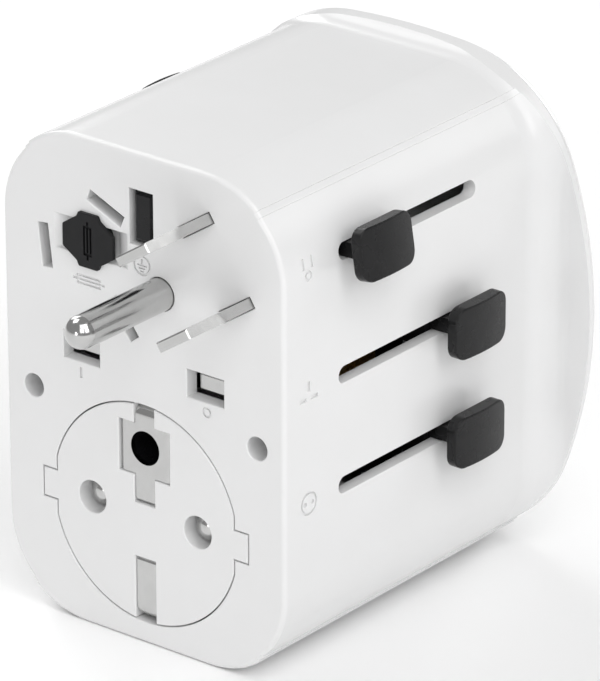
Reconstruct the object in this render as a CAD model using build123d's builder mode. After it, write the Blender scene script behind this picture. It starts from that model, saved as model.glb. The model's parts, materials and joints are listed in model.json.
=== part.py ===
"""Universal travel adapter: four sliding plug sets in one housing, with a recessed socket at the back.

The adapter stands on its flat bottom. +Z is up, the plug end faces -Y, and the USA, UK and DE sliders
are on the +X side. The AUS slider is on the -X side. The origin is the middle of the bottom.
"""
from build123d import *
import os
from math import asin, cos, degrees, radians, sin

os.makedirs("parts", exist_ok=True)

# ---- Housing -----------------------------------------------------------------------------------
body_w = 50.0            # width of the plug end, over the side panels
body_h = 73.9            # height of the plug end, over the top and bottom bands
body_r = 14.0            # corner radius of the plug end
band_step = 0.4          # how far the top and bottom bands stand proud of the side panels
band_ledge = 1.0         # narrow ledge at half that height, along their edges
depth = 62.4             # front face to back face
wall = 2.0               # side, top and bottom walls
face_t = 2.2             # front face
edge_r = 0.7             # rounding around the front face
opening_edge = 0.12      # broken edges of the openings

rim_w = 66.4             # the flared back rim: width
rim_h = 75.35            # and height; its lowest point is level with the bottom of the plug end
rim_side_r = 65.4        # radius of the rim's bowed sides
rim_top_r = 128.0        # radius of the rim's bowed top and bottom
rim_corner_r = 21.9      # radius between them
flange_d = 58.8          # depth at which the flare becomes a flat flange
flare_r = 4.6            # hollow radius between the body and the flange
seam_d = 59.6            # depth of the seam between front shell and back cover
cover_inset = 0.6        # back cover's outline inside the rim's
cover_edge_r = 2.4       # rounding of the back cover's outer edge
lip_t = 1.4              # locating lip of the back cover, inside the shell
lip_len = 3.0
snug = 0.15              # clearance between housing parts that locate one another

# ---- Clearances --------------------------------------------------------------------------------
slip = 0.1               # flat pins in their openings, each side
run = 0.05               # round pins and rods in their bores, radially
gap = 0.3                # moving pieces past everything else

# ---- Plug patterns: where each set comes out of the front face ---------------------------------
uk_z = 42.1              # height of the UK live and neutral pins
uk_x = 11.1              # their distance from the middle
uk_e = 22.2              # earth pin above them
uk_pin_w, uk_pin_t = 6.35, 4.0
uk_earth_w, uk_earth_h = 4.0, 8.0
uk_recess = 1.7          # tips of live and neutral below the face when retracted
uk_earth_recess = 0.5

us_x, us_z = 13.22, 60.6     # middle point between the two blades
us_turn = 33.3               # direction of the blades' width, in degrees from +X
us_pitch = 12.7              # blade to blade
us_ground = 11.9             # blade line to ground pin
us_blade_w, us_blade_t = 6.35, 1.5
us_ground_r = 2.4
us_blade_out = 13.5          # how far the extended blades stand out of the face
us_ground_out = 18.8
us_ground_guide_r = 2.1     # its length behind the front face

au_x, au_z = -11.9, 60.15    # middle point between live and neutral
au_turn = -53.3              # direction from there to earth, in degrees from +X
au_pitch = 13.72             # live to neutral
au_earth = 14.3              # live-neutral line to earth
au_splay = 30.0              # turn of the live and neutral blades
au_blade_w, au_blade_t = 6.35, 1.6
au_blade_out = 17.3
au_earth_out = 20.0

de_drop = 22.2           # DE pins below the UK live-neutral line
de_z = uk_z - de_drop
de_pitch = 19.0
de_pin_r = 2.4
de_pin_recess = 1.3      # pin tips below the puck's face when retracted
de_pin_out = 19.0        # pin length beyond the puck's face when out
puck_r = 16.5
puck_flat = 15.9         # half width over the side flats
puck_key = 18.4          # half width over the two keys
puck_key_h = 4.35
puck_gap = 0.2           # outline gap around the puck
puck_front_t = 8.0       # solid front of the puck, which guides the pins
puck_len = 22.0          # with its skirt
puck_wall = 1.6
puck_lip = 0.8           # stop lip at the back of the skirt
puck_lip_t = 1.5
puck_out = 17.5          # how far the puck comes out, to enter a recessed socket
earth_hole_up = 10.0     # French earth hole above the pin line
earth_hole_r = 2.55
clip_w = 3.5             # earth clips
clip_t = 0.8
clip_plate_w, clip_plate_h = 8.95, 7.7
clip_sunk = 0.3          # clip plates below the puck's face
clip_len = 16.0          # clips along the puck's side
clip_bend = 1.7          # bend from the face to the side
clip_flange = 0.7        # turned-in edges of the plate
sleeve_t = 0.4

# ---- Sliders -----------------------------------------------------------------------------------
travel = 21.4            # stroke of every slider
slot_front = 11.95       # near end of the slots, behind the front face
slot_len = 30.7
slot_h = 2.5
park_d = 38.1            # slider centre when its pins are in
stem_len = 6.0           # stem along the slot
stem_h = 2.2
cap_len, cap_h, cap_t = 11.5, 7.75, 1.6
cap_r = 2.0
cap_crown = 0.6          # rise of the cap's middle over its ends
cap_under = 2.45         # cap's back above the side panel
cap_ahead = 0.7          # cap's middle behind the stem's, towards the socket
cap_drop = 0.3           # and below it
cap_edge = 0.22          # rounding of the cap's edges
usa_tilt = 9.0           # lean of the caps that sit where the corner starts to turn
uk_slider_z = 43.5
de_slider_z = 26.9
top_slider_z = 61.8      # USA on one side, AUS on the other
carriage_len = 8.0
rod_r = 1.0              # steel guide rods
rod_end_d = 46.0
rod_post_r = 1.9
rod_hole_d = 44.0

# ---- Fuse --------------------------------------------------------------------------------------
fuse_x, fuse_z = -9.15, 58.85
fuse_cap_w, fuse_cap_h = 9.15, 8.1
fuse_tab_w = 3.4         # tabs at the top and bottom of the cap
fuse_side_h = 3.3        # flats at its sides
fuse_cap_t = 0.6         # the cap lies on the face
fuse_shoulder = (2.05, 3.3)  # where a tab meets the slanted sides, from the cap's middle
fuse_mark_w, fuse_mark_h = 4.4, 1.5
finger_d = 1.3           # recess that lets a finger under the cap
finger_w, finger_h = 13.2, 5.1
finger_x = -9.0
finger_ramp = 2.6        # slope at each end of the recess
fuse_neck_r = 3.3
fuse_neck_len = 6.0
fuse_link_r = 2.6
fuse_link_len = 20.0
fuse_link_d = 3.5
fuse_endcap_len = 5.0
holder_r = 4.6
holder_len = 28.0

# ---- Socket at the back ------------------------------------------------------------------------
socket_z = 36.1
well_r = 19.6
well_depth = 17.5
well_wall = 1.6
floor_t = 2.0
socket_pitch = 19.0
socket_hole_r = 2.65
tulip_r, tulip_t = 3.0, 0.6
tulip_len = 15.0
base_h = 7.0             # contact block
base_w = 26.4
foot_t = 1.4
base_front_d = 25.5
shutter_t = 1.4
shutter_travel = 5.3
shutter_w = 24.4
strap_t = 0.8
earth_bow_w = 5.0

# ---- Housing screws ----------------------------------------------------------------------------
screw_right = (20.17, 35.62)
screw_left = (-19.97, 34.1)
screw_hole_r = 1.75
screw_head_r, screw_head_t = 1.65, 2.0
screw_r = 1.1
screw_head_d = 22.0
screw_end_d = 40.0
boss_r = 2.4
boss_end_d = 29.8

# ---- Engraved marks: plug pictograms, an earth sign and fuse signs -----------------------------
mark_depth = 0.3
mark_line = 0.35
mark_d = 5.3             # pictograms beside the sliders: their depth behind the front face
live_mark = (-11.2, 38.4)
neutral_mark = (11.4, 38.6)
earth_mark = (0.1, 57.5)
earth_mark_r = 1.55
fuse_mark = (-9.5, 52.6)

# ---- Worked-out places -------------------------------------------------------------------------
front = -depth / 2
body_z = body_h / 2
rim_z = rim_h / 2
inner_w = body_w - 2 * wall
inner_h = body_h - 2 * band_step - 2 * wall
inner_r = body_r - band_step - wall
well_floor_d = depth - well_depth
floor_front_d = well_floor_d - floor_t
carriage_back_d = park_d + carriage_len / 2
earth_z = uk_z + uk_e
out_d = park_d - travel
slot_mid = front + slot_front + slot_len / 2
side_x = body_w / 2
carriage_x = inner_w / 2 - gap


def at(d):
    """Sketch plane at depth d behind the front face; local x and y are the object's X and Z."""
    return Plane.XZ.offset(-(front + d))


def turned(origin, along, across, angle):
    """A point given along and across a direction that is turned by angle from +X."""
    a = radians(angle)
    return (origin[0] + along * cos(a) - across * sin(a), origin[1] + along * sin(a) + across * cos(a))


def slab(x0, x1, z0, z1, d0, d1, mode=Mode.ADD):
    """Straight block between two depths, added to the part in hand."""
    with BuildSketch(at(d0)) as outline:
        with Locations(((x0 + x1) / 2, (z0 + z1) / 2)):
            Rectangle(x1 - x0, z1 - z0)
    extrude(outline.sketch, amount=d0 - d1, mode=mode)


def bar(x, z, w, h, angle, d0, d1, mode=Mode.ADD):
    """Flat bar with its width turned by angle from +X."""
    with BuildSketch(at(d0)) as outline:
        with Locations((x, z)):
            Rectangle(w, h, rotation=angle)
    extrude(outline.sketch, amount=d0 - d1, mode=mode)


def rod(x, z, r, d0, d1, mode=Mode.ADD):
    """Round bar along Y."""
    with BuildSketch(at(d0)) as outline:
        with Locations((x, z)):
            Circle(r)
    extrude(outline.sketch, amount=d0 - d1, mode=mode)


def save(part, name):
    """Label a piece and write its STEP file."""
    part.label = name
    export_step(part, f"parts/{name}.step")


# Plug pattern points, worked out once and used by the face, the pins and the carriages.
us_mid = (us_x, us_z)
us_upper = turned(us_mid, 0, us_pitch / 2, us_turn)
us_lower = turned(us_mid, 0, -us_pitch / 2, us_turn)
us_gnd = turned(us_mid, -us_ground, 0, us_turn)
au_mid = (au_x, au_z)
au_upper = turned(au_mid, 0, au_pitch / 2, au_turn)
au_left = turned(au_mid, 0, -au_pitch / 2, au_turn)
au_low = turned(au_mid, au_earth, 0, au_turn)
au_blades = {
    "aus_blade_upper": (au_upper, au_turn + au_splay, au_blade_out),
    "aus_blade_left": (au_left, au_turn - au_splay, au_blade_out),
    "aus_blade_earth": (au_low, au_turn, au_earth_out),
}

# Guide rods: one for each carriage.
rod_uk = (-4.6, uk_z + 0.45)
rod_us = (18.6, us_z + 3.9)
rod_au = (-18.8, au_z + 3.6)
rod_de = (20.8, de_z + 10.2)
guide_rods = (rod_uk, rod_us, rod_au, rod_de)


def rod_end(x, z):
    """Depth at which a rod ends: in the floor of the socket well, or in a post beside the well."""
    return well_floor_d - 1 if (x, z) == rod_uk else rod_end_d



# ---- Outlines of the housing -------------------------------------------------------------------
def rim_sketch(d, inset=0.0):
    """Back rim: four bowed sides with round corners."""
    a = rim_w / 2 - inset
    b = rim_h / 2 - inset
    with BuildSketch(at(d)) as outline:
        with Locations((a - rim_side_r, rim_z)):
            Circle(rim_side_r)
        with Locations((rim_side_r - a, rim_z)):
            Circle(rim_side_r, mode=Mode.INTERSECT)
        with Locations((0, rim_z + b - rim_top_r)):
            Circle(rim_top_r, mode=Mode.INTERSECT)
        with Locations((0, rim_z - b + rim_top_r)):
            Circle(rim_top_r, mode=Mode.INTERSECT)
        fillet(outline.vertices(), rim_corner_r)
    return outline.sketch


def flared(w, h, r):
    """Prism of one outline that meets a wide flange through the hollow flare."""
    spread = flare_r + 6.0
    with BuildPart() as block:
        with BuildSketch(at(0)):
            with Locations((0, body_z)):
                RectangleRounded(w, h, r)
        extrude(amount=-flange_d)
        with BuildSketch(at(flange_d)):
            with Locations((0, body_z)):
                RectangleRounded(w + 2 * spread, h + 2 * spread, r + spread)
        extrude(amount=flange_d - seam_d)
        fillet(block.faces().sort_by(Axis.Y)[0].edges(), edge_r)
        flange_y = front + flange_d
        corner = [
            e
            for e in block.edges().filter_by_position(Axis.Y, flange_y - 0.01, flange_y + 0.01)
            if abs(e.center().X) < w / 2 + 1 and abs(e.center().Z - body_z) < h / 2 + 1
        ]
        fillet(corner, flare_r)
    return block.part


def prism(w, h, r, d0, d1, edge=0.0):
    """Plain prism of a rounded outline between two depths, with its front edge broken if asked."""
    with BuildPart() as block:
        with BuildSketch(at(d0)):
            with Locations((0, body_z)):
                RectangleRounded(w, h, r)
        extrude(amount=d0 - d1)
        if edge:
            fillet(block.faces().sort_by(Axis.Y)[0].edges(), edge)
    return block.part


def band_wedges(back):
    """The regions above and below the corners' middles, less a strip of the given width."""
    arm = body_w
    corner_x = body_w / 2 - body_r - back * 2 ** 0.5
    corner_z = body_h / 2 - body_r
    with BuildPart() as wedges:
        with BuildSketch(at(0)):
            for side in (1, -1):
                with BuildLine():
                    Polyline(
                        (-corner_x, body_z + side * corner_z),
                        (corner_x, body_z + side * corner_z),
                        (corner_x + arm, body_z + side * (corner_z + arm)),
                        (-corner_x - arm, body_z + side * (corner_z + arm)),
                        close=True,
                    )
                make_face()
        extrude(amount=-seam_d)
    return wedges.part


rim_prism = extrude(rim_sketch(0), amount=-seam_d)
panel = (body_w, body_h - 2 * band_step, body_r - band_step)
ledge = (body_w + band_step, body_h - band_step, body_r - band_step / 2)
band = (body_w + 2 * band_step, body_h, body_r)
bell = flared(*panel)
body_block = prism(*panel, 0, flange_d, edge_r)
for level, back in ((ledge, 0.0), (band, band_ledge)):
    bell += flared(*level) & band_wedges(back)
    body_block += prism(*level, 0, flange_d, edge_r) & band_wedges(back)


# ---- Front shell -------------------------------------------------------------------------------
def puck_outline(d, grow):
    """Outline of the DE puck: round with two flats and two keys."""
    with BuildSketch(at(d)) as outline:
        with Locations((0, de_z)):
            Circle(puck_r + grow)
            Rectangle(2 * (puck_flat + grow), 3 * puck_r, mode=Mode.INTERSECT)
            Rectangle(2 * (puck_key + grow), puck_key_h + 2 * grow)
    return outline.sketch


def panel_plane(side, z):
    """Plane on a side panel or on the corner above it; local x is left to right from outside."""
    r = body_r - band_step
    rise = max(0.0, z - (body_h - body_r))
    lean = asin(rise / r)
    x = side_x - r + r * cos(lean)
    return Plane((side * x, front + mark_d, z), x_dir=(0, side, 0), z_dir=(side * cos(lean), 0, sin(lean)))


def engrave(sketch, depth=mark_depth):
    """Cut a sketch that lies on the surface into the part in hand."""
    extrude(sketch, amount=-depth, mode=Mode.SUBTRACT)
    extrude(sketch, amount=depth, mode=Mode.SUBTRACT)


def ring_mark(x, z, r):
    with Locations((x, z)):
        Circle(r)
        Circle(r - mark_line, mode=Mode.SUBTRACT)


def bar_mark(x, z, w, h, angle=0.0):
    with Locations((x, z)):
        Rectangle(w, h, rotation=angle)


def fuse_sign(x, z, w, h, angle):
    """Rectangle with a line through it."""
    with Locations(Location((x, z, 0), (0, 0, angle))):
        Rectangle(w, h)
        Rectangle(w - 2 * mark_line, h - 2 * mark_line, mode=Mode.SUBTRACT)
        Rectangle(w * 1.3, mark_line)


def edges_at(part, axis, y, z):
    """Straight edges along an axis whose middle is at the given Y and Z."""
    return [
        e
        for e in part.edges().filter_by(axis)
        if abs(e.center().Y - y) < 0.01 and abs(e.center().Z - z) < 0.01
    ]


with BuildPart() as front_shell:
    add(body_block)
    add(bell & rim_prism)
    add(prism(inner_w, inner_h, inner_r, face_t, depth), mode=Mode.SUBTRACT)
    # bosses behind the face for the screws and the guide rods
    for x, z in (screw_right, screw_left):
        rod(x, z, boss_r, face_t, boss_end_d)
        rod(x, z, screw_hole_r, 0, screw_head_d + screw_head_t, Mode.SUBTRACT)
        rod(x, z, screw_r + run, 0, boss_end_d, Mode.SUBTRACT)
    for x, z in guide_rods:
        rod(x, z, rod_post_r, face_t, face_t + 3)
        rod(x, z, rod_r, face_t - 1, face_t + 3, Mode.SUBTRACT)
    # openings for the plug sets
    for side in (1, -1):
        slab(side * uk_x - uk_pin_w / 2 - slip, side * uk_x + uk_pin_w / 2 + slip,
             uk_z - uk_pin_t / 2 - slip, uk_z + uk_pin_t / 2 + slip, 0, face_t, Mode.SUBTRACT)
    slab(-uk_earth_w / 2 - slip, uk_earth_w / 2 + slip,
         earth_z - uk_earth_h / 2 - slip, earth_z + uk_earth_h / 2 + slip, 0, face_t, Mode.SUBTRACT)
    for x, z in (us_upper, us_lower):
        bar(x, z, us_blade_w + 2 * slip, us_blade_t + 2 * slip, us_turn, 0, face_t, Mode.SUBTRACT)
    rod(*us_gnd, us_ground_r + run, 0, face_t, Mode.SUBTRACT)
    for (x, z), angle, reach in au_blades.values():
        bar(x, z, au_blade_w + 2 * slip, au_blade_t + 2 * slip, angle, 0, face_t, Mode.SUBTRACT)
    extrude(puck_outline(0, puck_gap), amount=-face_t, mode=Mode.SUBTRACT)
    # finger recess under the fuse cap, sloped at both ends
    with BuildSketch(Plane.XY.offset(fuse_z - finger_h / 2)) as recess:
        with BuildLine():
            Polyline(
                (finger_x - finger_w / 2, front),
                (finger_x - finger_w / 2 + finger_ramp, front + finger_d),
                (finger_x + finger_w / 2 - finger_ramp, front + finger_d),
                (finger_x + finger_w / 2, front),
                close=True,
            )
        make_face()
    extrude(recess.sketch, amount=finger_h, mode=Mode.SUBTRACT)
    rod(fuse_x, fuse_z, fuse_neck_r + run, 0, face_t, Mode.SUBTRACT)
    openings = front_shell.faces().sort_by(Axis.Y)[0].inner_wires()
    chamfer([e for w in openings for e in w.edges()], opening_edge)
    # slider slots, three on the +X side and one on the -X side
    for side, z in ((1, uk_slider_z), (1, de_slider_z), (1, top_slider_z), (-1, top_slider_z)):
        start = Plane.YZ.offset(side * side_x * 0.8)
        with BuildSketch(start) as slot:
            with Locations((slot_mid, z)):
                SlotOverall(slot_len, slot_h)
        extrude(slot.sketch, amount=side * side_x * 0.4, mode=Mode.SUBTRACT)
    for z in (uk_slider_z, de_slider_z):
        rim = [
            e
            for e in front_shell.edges().filter_by_position(Axis.X, side_x - 0.01, side_x + 0.01)
            if abs(e.center().Z - z) < slot_h and abs(e.center().Y - slot_mid) < slot_len / 2 + 1
        ]
        chamfer(rim, opening_edge)
    # marks on the face
    with BuildSketch(at(0)) as signs:
        bar_mark(*live_mark, 0.5, 1.6)
        ring_mark(*neutral_mark, 0.8)
        ring_mark(*earth_mark, earth_mark_r)
        bar_mark(earth_mark[0], earth_mark[1] + 0.5, mark_line, 0.9)
        for row in range(3):
            bar_mark(earth_mark[0], earth_mark[1] - 0.45 * row, 1.7 - 0.55 * row, mark_line * 0.8)
        fuse_sign(*fuse_mark, fuse_mark_w, fuse_mark_h, 0)
    engrave(signs.sketch)
    # pictograms of the plugs beside their sliders
    with BuildSketch(panel_plane(1, top_slider_z)) as usa_mark:
        for side in (1, -1):
            bar_mark(side * 0.9, 0.75, 0.5, 1.7)
        ring_mark(0, -1.1, 0.75)
    engrave(usa_mark.sketch)
    with BuildSketch(panel_plane(1, uk_slider_z)) as uk_mark:
        for side in (1, -1):
            bar_mark(side * 1.25, -0.9, 1.5, 0.6)
        bar_mark(0, 0.9, 0.6, 1.5)
    engrave(uk_mark.sketch)
    with BuildSketch(panel_plane(1, de_slider_z)) as de_mark:
        ring_mark(0, 0, 1.75)
        for side in (1, -1):
            with Locations((side * 0.8, 0)):
                Circle(0.35)
    engrave(de_mark.sketch)
    with BuildSketch(panel_plane(-1, top_slider_z)) as aus_mark:
        for side in (1, -1):
            bar_mark(side * 0.9, 0.75, 0.5, 1.6, side * 30)
        bar_mark(0, -1.0, 0.5, 1.5)
    engrave(aus_mark.sketch)
save(front_shell.part, "front_shell")

# ---- Back cover with the socket well -----------------------------------------------------------
with BuildPart() as rear_cover:
    add(extrude(rim_sketch(seam_d, cover_inset), amount=seam_d - depth, mode=Mode.PRIVATE))
    outer_edges = rear_cover.faces().sort_by(Axis.Y)[-1].edges()
    fillet(outer_edges, cover_edge_r)
    lip_w = inner_w - 2 * snug
    lip_h = inner_h - 2 * snug
    add(prism(lip_w, lip_h, inner_r - snug, seam_d - lip_len, seam_d))
    add(prism(lip_w - 2 * lip_t, lip_h - 2 * lip_t, inner_r - snug - lip_t, seam_d - lip_len, seam_d),
        mode=Mode.SUBTRACT)
    rod(0, socket_z, well_r + well_wall, floor_front_d, depth - cover_edge_r)
    for x, z in (screw_right, screw_left):
        rod(x, z, boss_r, boss_end_d, well_floor_d)
    for x, z in guide_rods[1:]:
        rod(x, z, rod_post_r, rod_hole_d, seam_d)
    rod(0, socket_z, well_r, well_floor_d, depth, Mode.SUBTRACT)
    for x, z in (screw_right, screw_left):
        rod(x, z, screw_r, boss_end_d, screw_end_d + 1, Mode.SUBTRACT)
    for x, z in guide_rods:
        rod(x, z, rod_r, min(floor_front_d, rod_hole_d), rod_end(x, z), Mode.SUBTRACT)
    for side in (1, -1):
        rod(side * socket_pitch / 2, socket_z, socket_hole_r, floor_front_d, well_floor_d, Mode.SUBTRACT)
        slab(-earth_bow_w / 2 - snug, earth_bow_w / 2 + snug,
             socket_z + side * (well_r - 1.1) - 0.6, socket_z + side * (well_r - 1.1) + 0.6,
             floor_front_d, well_floor_d, Mode.SUBTRACT)
    slab(-earth_bow_w / 2 - snug, earth_bow_w / 2 + snug, socket_z - well_r + 1.1, socket_z + well_r - 1.1,
         floor_front_d, floor_front_d + 1.3, Mode.SUBTRACT)
save(rear_cover.part, "rear_cover")

# ---- Housing hardware --------------------------------------------------------------------------
with BuildPart() as housing_screws:
    for x, z in (screw_right, screw_left):
        rod(x, z, screw_head_r, screw_head_d, screw_head_d + screw_head_t)
        rod(x, z, screw_r, screw_head_d + screw_head_t, screw_end_d)
        slab(x - 1.1, x + 1.1, z - 0.25, z + 0.25, screw_head_d, screw_head_d + 0.9, Mode.SUBTRACT)
        slab(x - 0.25, x + 0.25, z - 1.1, z + 1.1, screw_head_d, screw_head_d + 0.9, Mode.SUBTRACT)
save(housing_screws.part, "housing_screws")

with BuildPart() as slider_rods:
    for x, z in guide_rods:
        rod(x, z, rod_r, face_t - 1, rod_end(x, z))
save(slider_rods.part, "slider_rods")

# ---- Socket insert: contact block, contacts, straps and shutter --------------------------------
base_back_d = floor_front_d - shutter_t - 2 * slip
tulip_x = socket_pitch / 2
pocket_w, pocket_h, pocket_d = 10.4, 3.2, 4.0   # room for the shutter's finger and spring
with BuildPart() as contact_block:
    slab(-base_w / 2, base_w / 2, socket_z - base_h / 2, socket_z + base_h / 2, base_front_d, base_back_d)
    for side in (1, -1):
        rod(side * tulip_x, socket_z, tulip_r + run, base_front_d, base_back_d, Mode.SUBTRACT)
    # foot that joins the block to the floor of the socket well
    foot_z = socket_z - base_h / 2
    slab(-base_w / 2, base_w / 2, foot_z - foot_t, foot_z, base_front_d, floor_front_d)
    slab(-pocket_w / 2, pocket_w / 2, socket_z - pocket_h / 2, socket_z + pocket_h / 2,
         base_back_d - pocket_d, base_back_d, Mode.SUBTRACT)
save(contact_block.part, "contact_block")


def tulip(name, side):
    """Sprung tube that grips a 4.8 mm pin, slit along its length."""
    x = side * tulip_x
    with BuildPart() as contact:
        rod(x, socket_z, tulip_r, base_back_d - tulip_len, base_back_d - 0.2)
        rod(x, socket_z, tulip_r - tulip_t, base_back_d - tulip_len, base_back_d - 0.2, Mode.SUBTRACT)
        slab(x - 0.4, x + 0.4, socket_z - tulip_r, socket_z + tulip_r,
             base_back_d - tulip_len + 4, base_back_d, Mode.SUBTRACT)
    save(contact.part, name)


tulip("socket_contact_live", 1)
tulip("socket_contact_neutral", -1)


def strap(name, side):
    """Copper strap that carries the current from a socket contact to its side."""
    x0, x1 = sorted((side * 5.5, side * 16.0))
    with BuildPart() as piece:
        slab(x0, x1, socket_z - 3.2, socket_z + 3.2, base_front_d - strap_t, base_front_d)
        rod(side * tulip_x, socket_z, 1.2, base_front_d - strap_t, base_front_d, Mode.SUBTRACT)
        tab = side * 15.6
        slab(tab - 0.4, tab + 0.4, socket_z - 3.2, socket_z + 3.2, base_front_d - strap_t, base_front_d + 6)
    save(piece.part, name)


strap("live_strap", 1)
strap("neutral_strap", -1)

bow_d0 = floor_front_d + 0.5
bow_z = well_r - 1.1
with BuildPart() as socket_earth_bow:
    slab(-earth_bow_w / 2, earth_bow_w / 2, socket_z - bow_z - 0.4, socket_z + bow_z + 0.4,
         bow_d0, bow_d0 + strap_t)
    for side in (1, -1):
        arm = socket_z + side * bow_z
        slab(-earth_bow_w / 2, earth_bow_w / 2, arm - 0.4, arm + 0.4, bow_d0, depth - 3)
        with BuildSketch(Plane.YZ.offset(-earth_bow_w / 2)) as bump:
            with BuildLine():
                tip = front + depth - 3
                inner = arm - side * 0.4
                Polyline((tip, inner), (tip - 8, inner), (tip - 4, inner - side * 1.0), close=True)
            make_face()
        extrude(bump.sketch, amount=earth_bow_w)
save(socket_earth_bow.part, "socket_earth_bow")

shutter_d0 = base_back_d + slip
hole_w = 2 * socket_hole_r + 0.2
finger_z = 1.4
with BuildPart() as socket_shutter:
    slab(-shutter_w / 2, shutter_w / 2, socket_z - base_h / 2 + slip, socket_z + base_h / 2 - slip,
         shutter_d0, shutter_d0 + shutter_t)
    window_x = socket_pitch / 2 - shutter_travel
    slab(window_x - hole_w / 2, window_x + hole_w / 2, socket_z - hole_w / 2, socket_z + hole_w / 2,
         shutter_d0, shutter_d0 + shutter_t, Mode.SUBTRACT)
    slab(-pocket_w / 2 + 0.1, -pocket_w / 2 + 0.9, socket_z - finger_z, socket_z + finger_z,
         shutter_d0 - 3.5, shutter_d0)
save(socket_shutter.part, "socket_shutter")

spring_r, spring_wire = 1.2, 0.15
spring_x0 = -pocket_w / 2 + 0.9 + spring_wire
spring_x1 = pocket_w / 2 - spring_wire
spring_pitch = 1.3
spring_y = front + base_back_d - 1.9
with BuildPart() as shutter_spring:
    with BuildLine() as coil:
        Helix(spring_pitch, spring_x1 - spring_x0, spring_r, center=(spring_x0, spring_y, socket_z),
              direction=(1, 0, 0))
    with BuildSketch(Plane(coil.line @ 0, z_dir=coil.line % 0)):
        Circle(spring_wire)
    sweep()
save(shutter_spring.part, "shutter_spring")


# ---- Slider caps -------------------------------------------------------------------------------
def slider_cap(name, side, z, centre_d, tilt=0.0):
    """Thumb cap with a hollow face, on a stem that passes through the slot into the carriage."""
    y = front + centre_d
    cap_y = y + cap_ahead
    back_x = side_x + cap_under
    crown_r = (cap_len ** 2 / 4 + cap_crown ** 2) / (2 * cap_crown)
    with BuildPart() as head:
        with BuildSketch(Plane.YZ.offset(back_x)):
            with Locations((cap_y, z - cap_drop)):
                RectangleRounded(cap_len, cap_h, cap_r)
        extrude(amount=cap_t + cap_crown)
        with BuildSketch(Plane.XY.offset(z - 2 * cap_h)):
            with Locations((back_x + cap_t + cap_crown - crown_r, cap_y)):
                Circle(crown_r)
        extrude(amount=4 * cap_h, mode=Mode.INTERSECT)
        fillet(head.faces().sort_by(Axis.X)[0].edges(), cap_edge)
        fillet(head.faces().sort_by(Axis.X)[-1].edges(), cap_edge)
    leaning = head.part.rotate(Axis((side_x, 0, z), (0, 1, 0)), -tilt)
    stem_x = carriage_x - 2.5
    with BuildPart() as button:
        add(leaning)
        with BuildSketch(Plane.YZ.offset(stem_x)):
            with Locations((y, z)):
                Rectangle(stem_len, stem_h)
        extrude(amount=back_x + 0.5 - stem_x)
    piece = button.part
    if side < 0:
        piece = piece.mirror(Plane.YZ)
    save(piece, name)


slider_cap("usa_slider", 1, top_slider_z, out_d, usa_tilt)
slider_cap("uk_slider", 1, uk_slider_z, park_d)
slider_cap("de_slider", 1, de_slider_z, park_d)
slider_cap("aus_slider", -1, top_slider_z, park_d, usa_tilt)


# ---- Carriages ---------------------------------------------------------------------------------
inner_clear = prism(inner_w - 2 * gap, inner_h - 2 * gap, inner_r - gap, 0, depth)


def stem_pocket(side, z, centre_d):
    """Pocket for the slider's stem in a carriage's outer side."""
    x0, x1 = sorted((side * (carriage_x - 2.5), side * (carriage_x + 1)))
    slab(x0, x1, z - stem_h / 2, z + stem_h / 2,
         centre_d - stem_len / 2, centre_d + stem_len / 2, Mode.SUBTRACT)


uk_bar_low = uk_z - 2.3
uk_bar_top = uk_z + 3.2
tang = 3.0               # how deep the pins sit in their carriage
tang_w = 4.4             # width of a blade's tang
park_front = park_d - carriage_len / 2
out_front = out_d - carriage_len / 2
with BuildPart() as uk_carriage:
    slab(-18.5, carriage_x, uk_bar_low, uk_bar_top, park_front, carriage_back_d)
    slab(-0.5, 0.6, uk_bar_top, earth_z - uk_earth_h / 2 + 0.3, park_front, carriage_back_d)
    slab(-2.1, 2.1, earth_z - uk_earth_h / 2, earth_z + uk_earth_h / 2 + 0.2, park_front, carriage_back_d)
    for side in (1, -1):
        slab(side * uk_x - 2.2, side * uk_x + 2.2, uk_z - 1.4, uk_z + 1.4, park_front, park_front + tang,
             Mode.SUBTRACT)
    slab(-1.2, 1.2, earth_z - 2.5, earth_z + 2.5, park_front, park_front + tang, Mode.SUBTRACT)
    rod(*rod_uk, rod_r + run, park_front, carriage_back_d, Mode.SUBTRACT)
    stem_pocket(1, uk_slider_z, park_d)
save(uk_carriage.part, "uk_carriage")

us_left = 1.0
us_low = uk_bar_top + 4.8
with BuildPart() as usa_carriage:
    slab(us_left, carriage_x, us_low, earth_z - uk_earth_h / 2 - gap, out_front, out_front + carriage_len)
    slab(uk_earth_w / 2 + 2 * gap, carriage_x + 2, us_low, body_h - wall - 1.6,
         out_front, out_front + carriage_len)
    add(inner_clear, mode=Mode.INTERSECT)
    rod(*us_gnd, 1.7, out_front, out_front + tang, Mode.SUBTRACT)
    for x, z in (us_upper, us_lower):
        bar(x, z, tang_w, us_blade_t, us_turn, out_front, out_front + tang, Mode.SUBTRACT)
    rod(*rod_us, rod_r + run, out_front, out_front + carriage_len, Mode.SUBTRACT)
    stem_pocket(1, top_slider_z, out_d)
save(usa_carriage.part, "usa_carriage")

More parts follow.
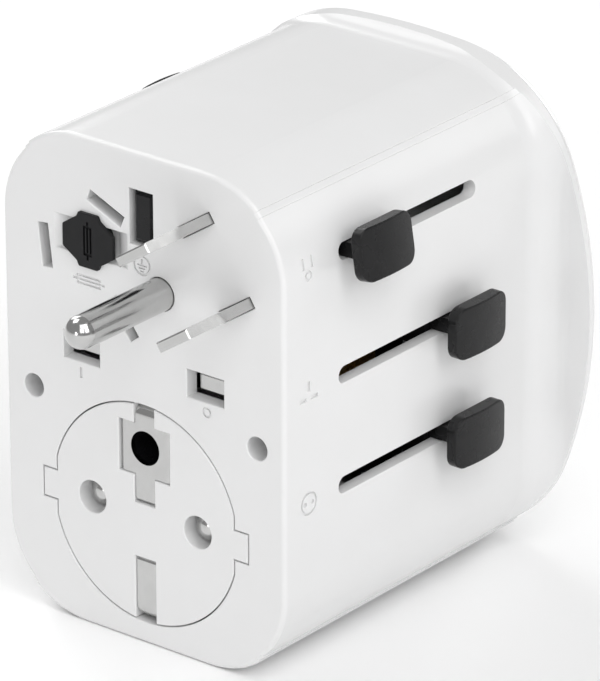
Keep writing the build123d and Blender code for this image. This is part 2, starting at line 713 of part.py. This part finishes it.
au_right = -0.95
with BuildPart() as aus_carriage:
    au_low_z = uk_bar_top + 0.4
    au_top_z = body_h - wall - 2.3
    slab(-carriage_x, au_right, au_low_z, fuse_z - holder_r - gap, park_front, carriage_back_d)
    slab(-carriage_x, fuse_x - holder_r - gap, au_low_z, au_top_z, park_front, carriage_back_d)
    slab(-carriage_x, -uk_earth_w / 2 - 1.6 * gap, fuse_z + holder_r + gap, au_top_z,
         park_front, carriage_back_d)
    slab(fuse_x + 3.6, -uk_earth_w / 2 - 1.6 * gap, fuse_z + 3.6, au_top_z, park_front, carriage_back_d)
    add(inner_clear, mode=Mode.INTERSECT)
    for (x, z), angle, reach in au_blades.values():
        bar(x, z, tang_w, au_blade_t, angle, park_front, park_front + tang, Mode.SUBTRACT)
    rod(*rod_au, rod_r + run, park_front, carriage_back_d, Mode.SUBTRACT)
    stem_pocket(-1, top_slider_z, park_d)
save(aus_carriage.part, "aus_carriage")

de_carriage_low = de_z - 1.8
with BuildPart() as de_carriage:
    slab(puck_key + puck_gap + 0.4, carriage_x, de_carriage_low, de_z + 12.2, park_front, carriage_back_d)
    rod(*rod_de, rod_r + run, park_front, carriage_back_d, Mode.SUBTRACT)
    stem_pocket(1, de_slider_z, park_d)
save(de_carriage.part, "de_carriage")


# ---- Pins --------------------------------------------------------------------------------------
def blade(name, place, angle, w, t, tip_d, root_d):
    """Flat pin with a broken tip, and a narrower tang in its carriage."""
    with BuildPart() as pin:
        bar(*place, w, t, angle, tip_d, root_d)
        chamfer(pin.faces().sort_by(Axis.Y)[0].edges(), 0.2)
        bar(*place, tang_w, t, angle, root_d, root_d + tang)
    save(pin.part, name)


def round_pin(name, place, r, tip_d, guide_r, root_d, shank_r):
    """Round pin with a domed tip, a slimmer length inside the housing, and a shank in its carriage."""
    with BuildPart() as pin:
        rod(*place, r, tip_d, 0)
        fillet(pin.faces().sort_by(Axis.Y)[0].edges(), r - 0.1)
        rod(*place, guide_r, 0, root_d)
        rod(*place, shank_r, root_d, root_d + tang)
    save(pin.part, name)


blade("usa_blade_upper", us_upper, us_turn, us_blade_w, us_blade_t, -us_blade_out, out_front)
blade("usa_blade_lower", us_lower, us_turn, us_blade_w, us_blade_t, -us_blade_out, out_front)
round_pin("usa_ground_pin", us_gnd, us_ground_r, -us_ground_out, us_ground_guide_r, out_front, 1.7)
for name, (place, angle, reach) in au_blades.items():
    blade(name, place, angle, au_blade_w, au_blade_t, travel - reach, park_front)


def uk_pin(name, x, z, w, h, tip_d, core_w, core_h, taper):
    """Rectangular pin with a tapered tip, and a tang in the carriage."""
    with BuildPart() as pin:
        slab(x - w / 2, x + w / 2, z - h / 2, z + h / 2, tip_d, park_front)
        chamfer(pin.faces().sort_by(Axis.Y)[0].edges(), taper)
        slab(x - core_w / 2, x + core_w / 2, z - core_h / 2, z + core_h / 2, park_front, park_front + tang)
    save(pin.part, name)


uk_pin("uk_live_pin", -uk_x, uk_z, uk_pin_w, uk_pin_t, uk_recess, 4.4, 2.8, 1.0)
uk_pin("uk_neutral_pin", uk_x, uk_z, uk_pin_w, uk_pin_t, uk_recess, 4.4, 2.8, 1.0)
uk_pin("uk_earth_pin", 0, earth_z, uk_earth_w, uk_earth_h, uk_earth_recess, 2.4, 5.0, 0.8)

# ---- DE puck, pins and earth clips -------------------------------------------------------------
hole_z = de_z + earth_hole_up
plate_top = hole_z + clip_plate_h / 2 - 0.4
plate_low = plate_top - clip_plate_h
strip_low = de_z + 1.55
groove = clip_t + 0.2
low_strip_top = de_z - 6.9
with BuildPart() as de_puck:
    extrude(puck_outline(0, 0), amount=-puck_len)
    with BuildSketch(at(puck_front_t)) as hollow:
        with Locations((0, de_z)):
            Circle(puck_r - puck_wall)
            Rectangle(2 * (puck_flat - puck_wall), 3 * puck_r, mode=Mode.INTERSECT)
    extrude(hollow.sketch, amount=puck_front_t - puck_len, mode=Mode.SUBTRACT)
    with BuildSketch(at(puck_len - puck_lip_t)) as lip:
        with Locations((0, de_z)):
            Circle(puck_r + puck_lip)
            Rectangle(2 * (puck_flat + 0.4), 3 * puck_r, mode=Mode.INTERSECT)
            Circle(puck_r - puck_wall, mode=Mode.SUBTRACT)
    extrude(lip.sketch, amount=-puck_lip_t)
    for side in (1, -1):
        rod(side * de_pitch / 2, de_z, de_pin_r + run, 0, puck_front_t, Mode.SUBTRACT)
    # recesses for the earth clips
    sunk = clip_sunk + clip_t
    slab(-clip_plate_w / 2 - slip, clip_plate_w / 2 + slip, plate_low - slip, plate_top + slip,
         0, sunk, Mode.SUBTRACT)
    slab(-clip_w / 2 - slip, clip_w / 2 + slip, strip_low - slip, de_z + puck_r, 0, sunk, Mode.SUBTRACT)
    slab(-clip_w / 2 - slip, clip_w / 2 + slip, de_z - puck_r, low_strip_top + slip, 0, sunk, Mode.SUBTRACT)
    for side in (1, -1):
        z0, z1 = sorted((de_z + side * (puck_r - groove - slip), de_z + side * (puck_r + 1)))
        slab(-clip_w / 2 - slip, clip_w / 2 + slip, z0, z1, 0, clip_len + slip, Mode.SUBTRACT)
    rod(0, hole_z, earth_hole_r + sleeve_t, 0, puck_front_t, Mode.SUBTRACT)
    chamfer(de_puck.faces().sort_by(Axis.Y)[0].edges(), opening_edge)
save(de_puck.part, "de_puck")


def clip_arm(side):
    """The part of an earth clip that lies along the puck's side."""
    top = side * (puck_r - 0.25)
    z0, z1 = sorted((de_z + top, de_z + top - side * clip_t))
    slab(-clip_w / 2, clip_w / 2, z0, z1, clip_sunk, clip_len)


with BuildPart() as de_earth_clip_top:
    slab(-clip_plate_w / 2, clip_plate_w / 2, plate_low, plate_top, clip_sunk, sunk)
    slab(-clip_w / 2, clip_w / 2, strip_low, de_z + puck_r - 0.25, clip_sunk, sunk)
    clip_arm(1)
    rod(0, hole_z, earth_hole_r, 0, sunk, Mode.SUBTRACT)
    face_y = front + clip_sunk
    fillet(edges_at(de_earth_clip_top, Axis.X, face_y, de_z + puck_r - 0.25), clip_bend)
    fillet(edges_at(de_earth_clip_top, Axis.X, face_y, strip_low), clip_flange)
    fillet(edges_at(de_earth_clip_top, Axis.Z, face_y, (plate_low + plate_top) / 2), clip_flange)
save(de_earth_clip_top.part, "de_earth_clip_top")

with BuildPart() as de_earth_clip_bottom:
    slab(-clip_w / 2, clip_w / 2, de_z - puck_r + 0.25, low_strip_top, clip_sunk, sunk)
    clip_arm(-1)
    fillet(edges_at(de_earth_clip_bottom, Axis.X, face_y, de_z - puck_r + 0.25), clip_bend)
    fillet(edges_at(de_earth_clip_bottom, Axis.X, face_y, low_strip_top), clip_flange)
save(de_earth_clip_bottom.part, "de_earth_clip_bottom")

sleeve_end = puck_front_t + 5
with BuildPart() as de_earth_sleeve:
    rod(0, hole_z, earth_hole_r + sleeve_t, sunk, sleeve_end)
    rod(0, hole_z, earth_hole_r, sunk, sleeve_end - 0.8, Mode.SUBTRACT)
save(de_earth_sleeve.part, "de_earth_sleeve")

yoke_back_d = 39.3
yoke_t = 4.0
with BuildPart() as de_yoke:
    slab(-13, 13, de_z - 3, de_z + 3, yoke_back_d - yoke_t, yoke_back_d)
    for side in (1, -1):
        rod(side * de_pitch / 2, de_z, 1.7, yoke_back_d - yoke_t, yoke_back_d, Mode.SUBTRACT)
save(de_yoke.part, "de_yoke")

for name, side in (("de_live_pin", 1), ("de_neutral_pin", -1)):
    with BuildPart() as pin:
        x = side * de_pitch / 2
        rod(x, de_z, de_pin_r, de_pin_recess, yoke_back_d - yoke_t)
        fillet(pin.faces().sort_by(Axis.Y)[0].edges(), de_pin_r - 0.1)
        rod(x, de_z, 1.7, yoke_back_d - yoke_t, yoke_back_d)
    save(pin.part, name)

# ---- Fuse --------------------------------------------------------------------------------------
with BuildPart() as fuse_holder:
    rod(fuse_x, fuse_z, holder_r, face_t, face_t + holder_len)
    rod(fuse_x, fuse_z, fuse_neck_r + run, face_t, face_t + holder_len - 1.2, Mode.SUBTRACT)
save(fuse_holder.part, "fuse_holder")

cap_gap = 0.05
quarter = [
    (fuse_tab_w / 2, fuse_cap_h / 2),
    fuse_shoulder,
    (fuse_cap_w / 2, fuse_side_h / 2),
]
outline = quarter + [(x, -z) for x, z in reversed(quarter)]
outline += [(-x, -z) for x, z in quarter] + [(-x, z) for x, z in reversed(quarter)]
with BuildPart() as fuse_cap:
    with BuildSketch(at(-fuse_cap_t)) as head:
        with BuildLine():
            Polyline(*[(fuse_x + x, fuse_z + z) for x, z in outline], close=True)
        make_face()
        fillet(head.vertices(), 0.35)
    extrude(head.sketch, amount=cap_gap - fuse_cap_t)
    fillet(fuse_cap.faces().sort_by(Axis.Y)[0].edges(), 0.15)
    rod(fuse_x, fuse_z, fuse_neck_r, -cap_gap, fuse_neck_len)
    rod(fuse_x, fuse_z, fuse_link_r, fuse_link_d, fuse_neck_len, Mode.SUBTRACT)
    with BuildSketch(at(-fuse_cap_t)) as sign:
        fuse_sign(fuse_x, fuse_z, fuse_mark_w, fuse_mark_h, 90)
    engrave(sign.sketch)
save(fuse_cap.part, "fuse_cap")

fuse_end_d = fuse_link_d + fuse_link_len
with BuildPart() as fuse_link:
    rod(fuse_x, fuse_z, fuse_link_r, fuse_link_d, fuse_link_d + fuse_endcap_len)
    rod(fuse_x, fuse_z, fuse_link_r, fuse_end_d - fuse_endcap_len, fuse_end_d)
    rod(fuse_x, fuse_z, fuse_link_r - 0.15, fuse_link_d + fuse_endcap_len, fuse_end_d - fuse_endcap_len)
save(fuse_link.part, "fuse_link")

fuse_spring_end = face_t + holder_len - 1.2
with BuildPart() as fuse_contact_spring:
    with BuildLine() as coil:
        coil_center = (fuse_x, front + fuse_end_d + 0.3, fuse_z)
        Helix(1.4, fuse_spring_end - fuse_end_d - 0.6, 2.2, center=coil_center, direction=(0, 1, 0))
    with BuildSketch(Plane(coil.line @ 0, z_dir=coil.line % 0)):
        Circle(0.28)
    sweep()
save(fuse_contact_spring.part, "fuse_contact_spring")
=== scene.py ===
"""Looks of the universal travel adapter: finishes, a pale floor, soft light and the camera.

Lengths are in metres, in the CAD frame: the adapter stands on its flat bottom, the plug end faces
-Y, the USA, UK and DE sliders are on the +X side and the socket well opens towards +Y.
"""
import json
import math

import bpy
from mathutils import Matrix, Vector

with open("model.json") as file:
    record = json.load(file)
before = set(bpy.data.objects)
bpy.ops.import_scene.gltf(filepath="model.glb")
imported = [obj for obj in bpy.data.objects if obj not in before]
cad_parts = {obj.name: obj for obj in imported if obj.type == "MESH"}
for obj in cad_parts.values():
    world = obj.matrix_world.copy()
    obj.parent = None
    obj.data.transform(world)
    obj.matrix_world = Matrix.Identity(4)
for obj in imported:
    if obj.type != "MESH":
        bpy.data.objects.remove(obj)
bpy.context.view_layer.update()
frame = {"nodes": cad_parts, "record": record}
scene = bpy.context.scene
MM = 0.001


# ---- Node helpers ----------------------------------------------------------------------------
class Finish:
    """One procedural material, whose colour, roughness and relief vary with object-space noise."""

    def __init__(self, name, color, roughness, **constants):
        self.material = bpy.data.materials.new(name)
        self.material.use_nodes = True
        self.tree = self.material.node_tree
        self.shader = self.tree.nodes["Principled BSDF"]
        self.shader.inputs["Base Color"].default_value = (*color, 1.0)
        self.shader.inputs["Roughness"].default_value = roughness
        for socket, value in constants.items():
            self.shader.inputs[socket.replace("_", " ")].default_value = value
        self.coords = self.tree.nodes.new("ShaderNodeTexCoord").outputs["Object"]
        self.normal = None

    def node(self, kind, **values):
        """New node with its inputs set; an underscore stands for a space in an input's name."""
        made = self.tree.nodes.new(kind)
        for socket, value in values.items():
            made.inputs[socket.replace("_", " ")].default_value = value
        return made

    def link(self, a, b):
        self.tree.links.new(a, b)

    def noise(self, size, detail=2.0, stretch=(1, 1, 1)):
        """Noise with grains about size metres across; stretch under 1 lengthens them on an axis."""
        mapping = self.node("ShaderNodeMapping", Scale=stretch)
        self.link(self.coords, mapping.inputs["Vector"])
        made = self.node("ShaderNodeTexNoise", Scale=1.0 / size, Detail=detail, Roughness=0.5)
        self.link(mapping.outputs["Vector"], made.inputs["Vector"])
        return made.outputs["Fac"]

    def vary_color(self, fac, dark, light):
        """Base colour that runs from dark to light over the middle of a noise."""
        made = self.tree.nodes.new("ShaderNodeValToRGB")
        dark_end, light_end = made.color_ramp.elements
        dark_end.position, dark_end.color = 0.3, (*dark, 1.0)
        light_end.position, light_end.color = 0.7, (*light, 1.0)
        self.link(fac, made.inputs["Fac"])
        self.link(made.outputs["Color"], self.shader.inputs["Base Color"])

    def vary_roughness(self, fac, low, high):
        """Roughness that runs from low to high over nearly the whole of a noise."""
        made = self.node("ShaderNodeMapRange", From_Min=0.15, From_Max=0.85, To_Min=low, To_Max=high)
        self.link(fac, made.inputs["Value"])
        self.link(made.outputs["Result"], self.shader.inputs["Roughness"])

    def bump(self, fac, height):
        """Relief of the given height in metres, added to what is there already."""
        made = self.node("ShaderNodeBump", Strength=1.0, Distance=height)
        self.link(fac, made.inputs["Height"])
        if self.normal is not None:
            self.link(self.normal, made.inputs["Normal"])
        self.normal = made.outputs["Normal"]
        self.link(self.normal, self.shader.inputs["Normal"])


# ---- Finishes --------------------------------------------------------------------------------
def white_plastic(name, tone):
    """Glossy moulded ABS: nearly even colour, with faint waviness in the gloss."""
    f = Finish(name, (tone, tone, tone), 0.24, IOR=1.5, Coat_Weight=0.12, Coat_Roughness=0.12)
    f.vary_color(f.noise(14 * MM, 3.0), (tone * 0.985,) * 3, (tone, tone, tone * 1.003))
    f.vary_roughness(f.noise(8 * MM, 1.0), 0.235, 0.265)
    f.bump(f.noise(9 * MM, 1.0), 0.012 * MM)
    f.bump(f.noise(0.35 * MM, 2.0), 0.0012 * MM)
    return f.material


def satin_plastic(name, dark, light, rough):
    """Spark-eroded dark plastic: a fine even grain, slightly polished by handling."""
    f = Finish(name, dark, rough, IOR=1.5, Specular_IOR_Level=0.24)
    f.vary_color(f.noise(2.2 * MM, 3.0), dark, light)
    f.vary_roughness(f.noise(3 * MM, 3.0), rough - 0.05, rough + 0.06)
    f.bump(f.noise(0.12 * MM, 2.0), 0.004 * MM)
    f.bump(f.noise(0.5 * MM, 1.0), 0.002 * MM)
    return f.material


def plated(name, tone, rough):
    """Bright metal: faint lines along Y, the way the pins are drawn, and small dull patches."""
    f = Finish(name, tone, rough, Metallic=1.0)
    f.vary_color(f.noise(1.5 * MM, 3.0), tuple(c * 0.95 for c in tone), tone)
    f.vary_roughness(f.noise(1.2 * MM, 4.0), rough * 0.8, rough * 1.5)
    f.bump(f.noise(0.12 * MM, 2.0, stretch=(1, 0.06, 1)), 0.0008 * MM)
    return f.material


def glass_tube(name):
    """Clear glass of the fuse link."""
    f = Finish(name, (0.93, 0.95, 0.95), 0.05, IOR=1.47, Transmission_Weight=0.85)
    f.vary_roughness(f.noise(2 * MM, 2.0), 0.03, 0.08)
    return f.material


WHITE = 0.80  # tone of the white housing; its cover and puck are a trace darker
finishes = {
    "white_shell": white_plastic("white_shell_finish", WHITE),
    "white_cover": white_plastic("white_cover_finish", WHITE * 0.99),
    "white_puck": white_plastic("white_puck_finish", WHITE * 0.995),
    "charcoal_slider": satin_plastic(
        "charcoal_finish", (0.009, 0.009, 0.0095), (0.012, 0.012, 0.0125), 0.27
    ),
    "fuse_plastic": satin_plastic("fuse_finish", (0.008, 0.008, 0.009), (0.011, 0.011, 0.012), 0.5),
    "black_plastic": satin_plastic("black_finish", (0.006, 0.006, 0.007), (0.009, 0.009, 0.01), 0.25),
    "inner_plastic": satin_plastic("inner_finish", (0.006, 0.006, 0.007), (0.01, 0.01, 0.011), 0.55),
    "nickel": plated("nickel_finish", (0.57, 0.57, 0.565), 0.14),
    "contact_brass": plated("brass_finish", (0.55, 0.38, 0.15), 0.25),
    "steel": plated("steel_finish", (0.5, 0.5, 0.5), 0.3),
    "fuse_glass": glass_tube("fuse_glass_finish"),
}
node_slot = {row["node"]: row["material_slot"] for row in frame["record"]["subparts"]}
for name, piece in frame["nodes"].items():
    for slot in piece.material_slots:
        slot.material = finishes[node_slot[name]]

# ---- Floor and surroundings ------------------------------------------------------------------
FLOOR_SIZE = 6.0
FLOOR_TONE = 0.96
FLOOR_MOTTLE = 0.005  # how far the tone wanders to either side
SKY_STRENGTH = 0.36

bpy.ops.mesh.primitive_plane_add(size=FLOOR_SIZE, location=(0, 0, 0))
floor = bpy.context.object
floor.name = "floor"
floor_finish = Finish("floor_finish", (FLOOR_TONE,) * 3, 0.7)
floor_finish.vary_color(
    floor_finish.noise(0.2), (FLOOR_TONE - FLOOR_MOTTLE,) * 3, (FLOOR_TONE + FLOOR_MOTTLE,) * 3
)
floor.data.materials.append(floor_finish.material)

world = bpy.data.worlds.new("world")
world.use_nodes = True
world.node_tree.nodes["Background"].inputs["Color"].default_value = (1, 1, 1, 1)
world.node_tree.nodes["Background"].inputs["Strength"].default_value = SKY_STRENGTH
scene.world = world

MIDDLE = Vector((0, 0, 0.037))
LIGHT_DISTANCE = 0.8
WIDE, NARROW = 0.35, 0.17  # sides of the two sizes of softbox


def direction(azimuth, elevation):
    """Unit vector from the object: azimuth 0 is in front of the plug end, 90 on the +X side."""
    a, e = math.radians(azimuth), math.radians(elevation)
    return Vector((math.sin(a) * math.cos(e), -math.cos(a) * math.cos(e), math.sin(e)))


def softbox(name, azimuth, elevation, size, power):
    """Square area light that faces the middle of the object."""
    data = bpy.data.lights.new(name, "AREA")
    data.shape = "SQUARE"
    data.size = size
    data.energy = power
    lamp = bpy.data.objects.new(name, data)
    lamp.location = MIDDLE + direction(azimuth, elevation) * LIGHT_DISTANCE
    lamp.rotation_mode = "QUATERNION"
    lamp.rotation_quaternion = (-direction(azimuth, elevation)).to_track_quat("-Z", "Y")
    scene.collection.objects.link(lamp)


softbox("light_right", 75, 28, WIDE, 1.18)
softbox("light_right_high", 75, 55, WIDE, 1.12)
softbox("light_camera", 38, 28, WIDE, 0.79)
softbox("light_camera_high", 38, 55, WIDE, 0.72)
softbox("light_front_low", 0, 6, NARROW, 0.64)
softbox("light_left", -80, 55, WIDE, 1.3)
softbox("light_behind_left", -120, 28, WIDE, 1.8)
softbox("light_behind_right", 150, 28, WIDE, 0.55)
softbox("light_behind_low", 190, 6, NARROW, 1.1)

# ---- Camera: the photograph's viewing angle --------------------------------------------------
CAMERA_AZIMUTH, CAMERA_ELEVATION, CAMERA_ROLL = 38.638, 23.508, -0.12
CAMERA_DISTANCE = 866.839 * MM
CAMERA_OFFSET = (21.644 * MM, 3.857 * MM)  # right of and above the point aimed at
AIM_POINT = Vector((0, -31.2, 42.1)) * MM  # between the UK pins, on the plug face
LENS = 333.032
SENSOR = 36.0

roll = math.radians(CAMERA_ROLL)
back = direction(CAMERA_AZIMUTH, CAMERA_ELEVATION)
level_right = (-back).cross(Vector((0, 0, 1))).normalized()
level_up = level_right.cross(-back)
right = level_right * math.cos(roll) + level_up * math.sin(roll)
up = level_up * math.cos(roll) - level_right * math.sin(roll)
eye = AIM_POINT + right * CAMERA_OFFSET[0] + up * CAMERA_OFFSET[1] + back * CAMERA_DISTANCE
camera_data = bpy.data.cameras.new("camera")
camera_data.sensor_width = SENSOR
camera_data.lens = LENS
camera_data.clip_start, camera_data.clip_end = 0.05, 20.0
camera = bpy.data.objects.new("camera", camera_data)
camera.matrix_world = (
    Matrix.Translation(eye) @ Matrix((right, up, back)).transposed().to_4x4()
)
scene.collection.objects.link(camera)
scene.camera = camera

scene.view_settings.view_transform = "Standard"
